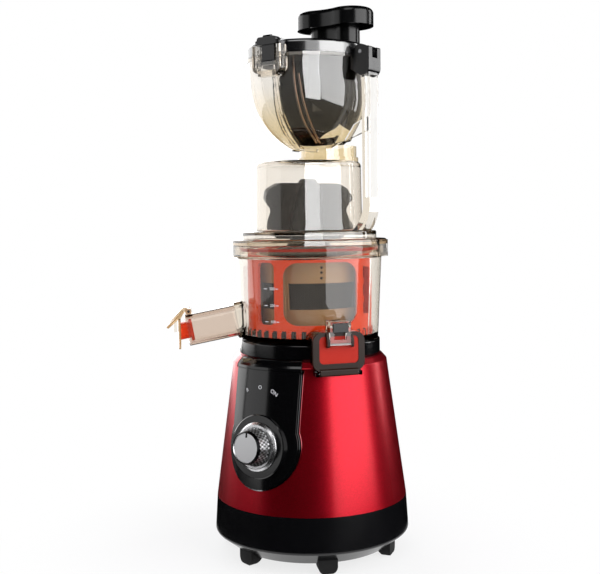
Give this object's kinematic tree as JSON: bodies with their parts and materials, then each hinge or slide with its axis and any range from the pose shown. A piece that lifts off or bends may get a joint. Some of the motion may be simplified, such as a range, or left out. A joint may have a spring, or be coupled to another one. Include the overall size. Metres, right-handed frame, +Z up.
{
  "type": "cold press juicer",
  "caption": "Upright cold press juicer: red cone base with a rotary knob, smoky juicing bowl with spout and pulp outlet, wide hopper with a hinged lid and a bean-shaped pusher.",
  "frame": {"origin": "on the machine's upright axis, at table height", "axes": "+Z up; -Y is the front with the control panel; +X is the side with the lid hinge and the handle column"},
  "size_m": [0.1933, 0.1966, 0.4905],
  "materials": {
    "rubber_black": "matt black rubber",
    "base_black": "matt black moulding",
    "black_gloss": "polished black",
    "housing_red": "candy red metallic lacquer",
    "trim_silver": "polished",
    "knob_metal": "knurled and satin",
    "smoke_clear": "smoky translucent copolyester",
    "amber_clear": "amber translucent copolyester",
    "clear": "clear copolyester",
    "silicone_red": "red silicone",
    "frame_orange": "orange moulding",
    "strainer_amber": "amber moulding",
    "mesh_steel": "perforated stainless sheet",
    "auger_dark": "dark glass filled moulding",
    "steel": "machined steel",
    "cast": "die-cast",
    "laminate_steel": "laminated steel",
    "copper": "enamelled copper wire",
    "board_green": "circuit board",
    "white_plastic": "acetal"
  },
  "bodies": {
    "base": {"feet": "rubber_black", "base_plate": "base_black", "base_skirt": "black_gloss", "base_screws": "steel", "housing": "housing_red", "control_panel": "black_gloss", "panel_trim": "trim_silver", "knob_ring": "trim_silver", "switch_body": "base_black", "top_ring": "black_gloss", "interlock_spring": "steel", "interlock_switch": "base_black", "gear_case": "cast", "case_screws": "steel", "shaft_seal": "rubber_black", "output_bearing": "steel", "motor_bearings": "steel", "motor_shield_top": "cast", "motor_shield_low": "cast", "motor_stator": "laminate_steel", "motor_windings": "copper", "cord_inlet": "rubber_black", "control_board": "board_green"},
    "knob": {"knob": "knob_metal"},
    "interlock_pin": {"interlock_pin": "white_plastic"},
    "drive": {"drive_shaft": "steel"},
    "planet_1": {"planet_gear_1": "white_plastic"},
    "planet_2": {"planet_gear_2": "white_plastic"},
    "planet_3": {"planet_gear_3": "white_plastic"},
    "rotor": {"motor_rotor": "laminate_steel", "cooling_fan": "base_black"},
    "bowl": {"juicing_bowl": "smoke_clear", "juice_spout": "amber_clear", "cap_pin": "steel", "flap_pin": "steel", "strainer": "strainer_amber", "strainer_mesh": "mesh_steel"},
    "auger": {"auger": "auger_dark", "cutter": "auger_dark"},
    "brush": {"brush_frame": "frame_orange", "brush_wipers": "silicone_red"},
    "idler": {"brush_gear": "white_plastic"},
    "drip_cap": {"anti_drip_cap": "smoke_clear", "cap_plug": "silicone_red"},
    "pulp_door": {"pulp_flap": "smoke_clear", "pulp_seal": "silicone_red", "latch_pin": "steel"},
    "pulp_latch": {"pulp_latch": "clear", "latch_pad": "black_gloss"},
    "lid_and_hopper": {"chamber_lid": "smoke_clear", "lid_seal": "silicone_red", "hopper": "smoke_clear", "hinge_block": "black_gloss", "handle_column": "clear", "hinge_pin": "steel"},
    "hopper_cover": {"hopper_lid": "black_gloss", "feed_tube": "black_gloss", "latch_button_pin": "steel"},
    "lid_button": {"lid_latch": "black_gloss"},
    "pusher": {"pusher": "black_gloss"}
  },
  "joints": [
    {"name": "drive_spin", "type": "hinge", "parent": "base", "child": "drive", "pos_m": [0, 0, 0.16], "axis": [0, 0, 1], "continuous": true},
    {"name": "rotor_spin", "type": "hinge", "parent": "base", "child": "rotor", "pos_m": [0, 0, 0.08], "axis": [0, 0, 1], "continuous": true},
    {"name": "planet_1_spin", "type": "hinge", "parent": "drive", "child": "planet_1", "pos_m": [0, -0.024, 0.138], "axis": [0, 0, 1], "continuous": true},
    {"name": "planet_2_spin", "type": "hinge", "parent": "drive", "child": "planet_2", "pos_m": [0.02079, 0.012, 0.138], "axis": [0, 0, 1], "continuous": true},
    {"name": "planet_3_spin", "type": "hinge", "parent": "drive", "child": "planet_3", "pos_m": [-0.02079, 0.012, 0.138], "axis": [0, 0, 1], "continuous": true},
    {"name": "knob_turn", "type": "hinge", "parent": "base", "child": "knob", "pos_m": [0, -0.08161, 0.11], "axis": [0, -0.9907, 0.1358], "range_deg": [-40, 40]},
    {"name": "interlock_press", "type": "slide", "parent": "base", "child": "interlock_pin", "axis": [0, 0, 1], "range_m": [-0.004, 0], "stiffness_N_per_m": 250, "springref_m": 0.002, "deforming": ["interlock_spring"]},
    {"name": "bowl_lift", "type": "slide", "parent": "base", "child": "bowl", "axis": [0, 0, 1], "range_m": [0, 0.08]},
    {"name": "auger_spin", "type": "hinge", "parent": "bowl", "child": "auger", "pos_m": [0, 0, 0.25], "axis": [0, 0, 1], "continuous": true},
    {"name": "brush_spin", "type": "hinge", "parent": "bowl", "child": "brush", "pos_m": [0, 0, 0.23], "axis": [0, 0, 1], "continuous": true},
    {"name": "idler_spin", "type": "hinge", "parent": "bowl", "child": "idler", "pos_m": [0, 0.03375, 0.203], "axis": [0, 0, 1], "continuous": true},
    {"name": "drip_cap_hinge", "type": "hinge", "parent": "bowl", "child": "drip_cap", "pos_m": [-0.07986, -0.07712, 0.22337], "axis": [-0.6947, 0.7193, 0], "range_deg": [0, 100]},
    {"name": "pulp_door_hinge", "type": "hinge", "parent": "bowl", "child": "pulp_door", "pos_m": [0.06146, -0.04802, 0.1738], "axis": [0.6157, 0.788, 0], "range_deg": [0, 90]},
    {"name": "pulp_latch_hinge", "type": "hinge", "parent": "pulp_door", "child": "pulp_latch", "pos_m": [0.06462, -0.05048, 0.1985], "axis": [0.6157, 0.788, 0], "range_deg": [0, 60]},
    {"name": "lid_twist", "type": "hinge", "parent": "bowl", "child": "lid_and_hopper", "pos_m": [0, 0, 0.281], "axis": [0, 0, 1], "range_deg": [0, 30]},
    {"name": "cover_hinge", "type": "hinge", "parent": "lid_and_hopper", "child": "hopper_cover", "pos_m": [0.062, 0, 0.447], "axis": [0, 1, 0], "range_deg": [0, 95]},
    {"name": "lid_button_press", "type": "hinge", "parent": "hopper_cover", "child": "lid_button", "pos_m": [0, -0.056, 0.4555], "axis": [1, 0, 0], "range_deg": [0, 7], "stiffness_Nm_per_rad": 0.3, "springref_deg": -5.73},
    {"name": "pusher_slide", "type": "slide", "parent": "hopper_cover", "child": "pusher", "axis": [0, 0, 1], "range_m": [0, 0.08]}
  ],
  "couplings": [
    {"joint": "rotor_spin", "follows": "drive_spin", "ratio": 6},
    {"joint": "planet_1_spin", "follows": "drive_spin", "ratio": -2.5},
    {"joint": "planet_2_spin", "follows": "drive_spin", "ratio": -2.5},
    {"joint": "planet_3_spin", "follows": "drive_spin", "ratio": -2.5},
    {"joint": "auger_spin", "follows": "drive_spin", "ratio": 1},
    {"joint": "idler_spin", "follows": "drive_spin", "ratio": -1.0769},
    {"joint": "brush_spin", "follows": "drive_spin", "ratio": -0.35}
  ]
}
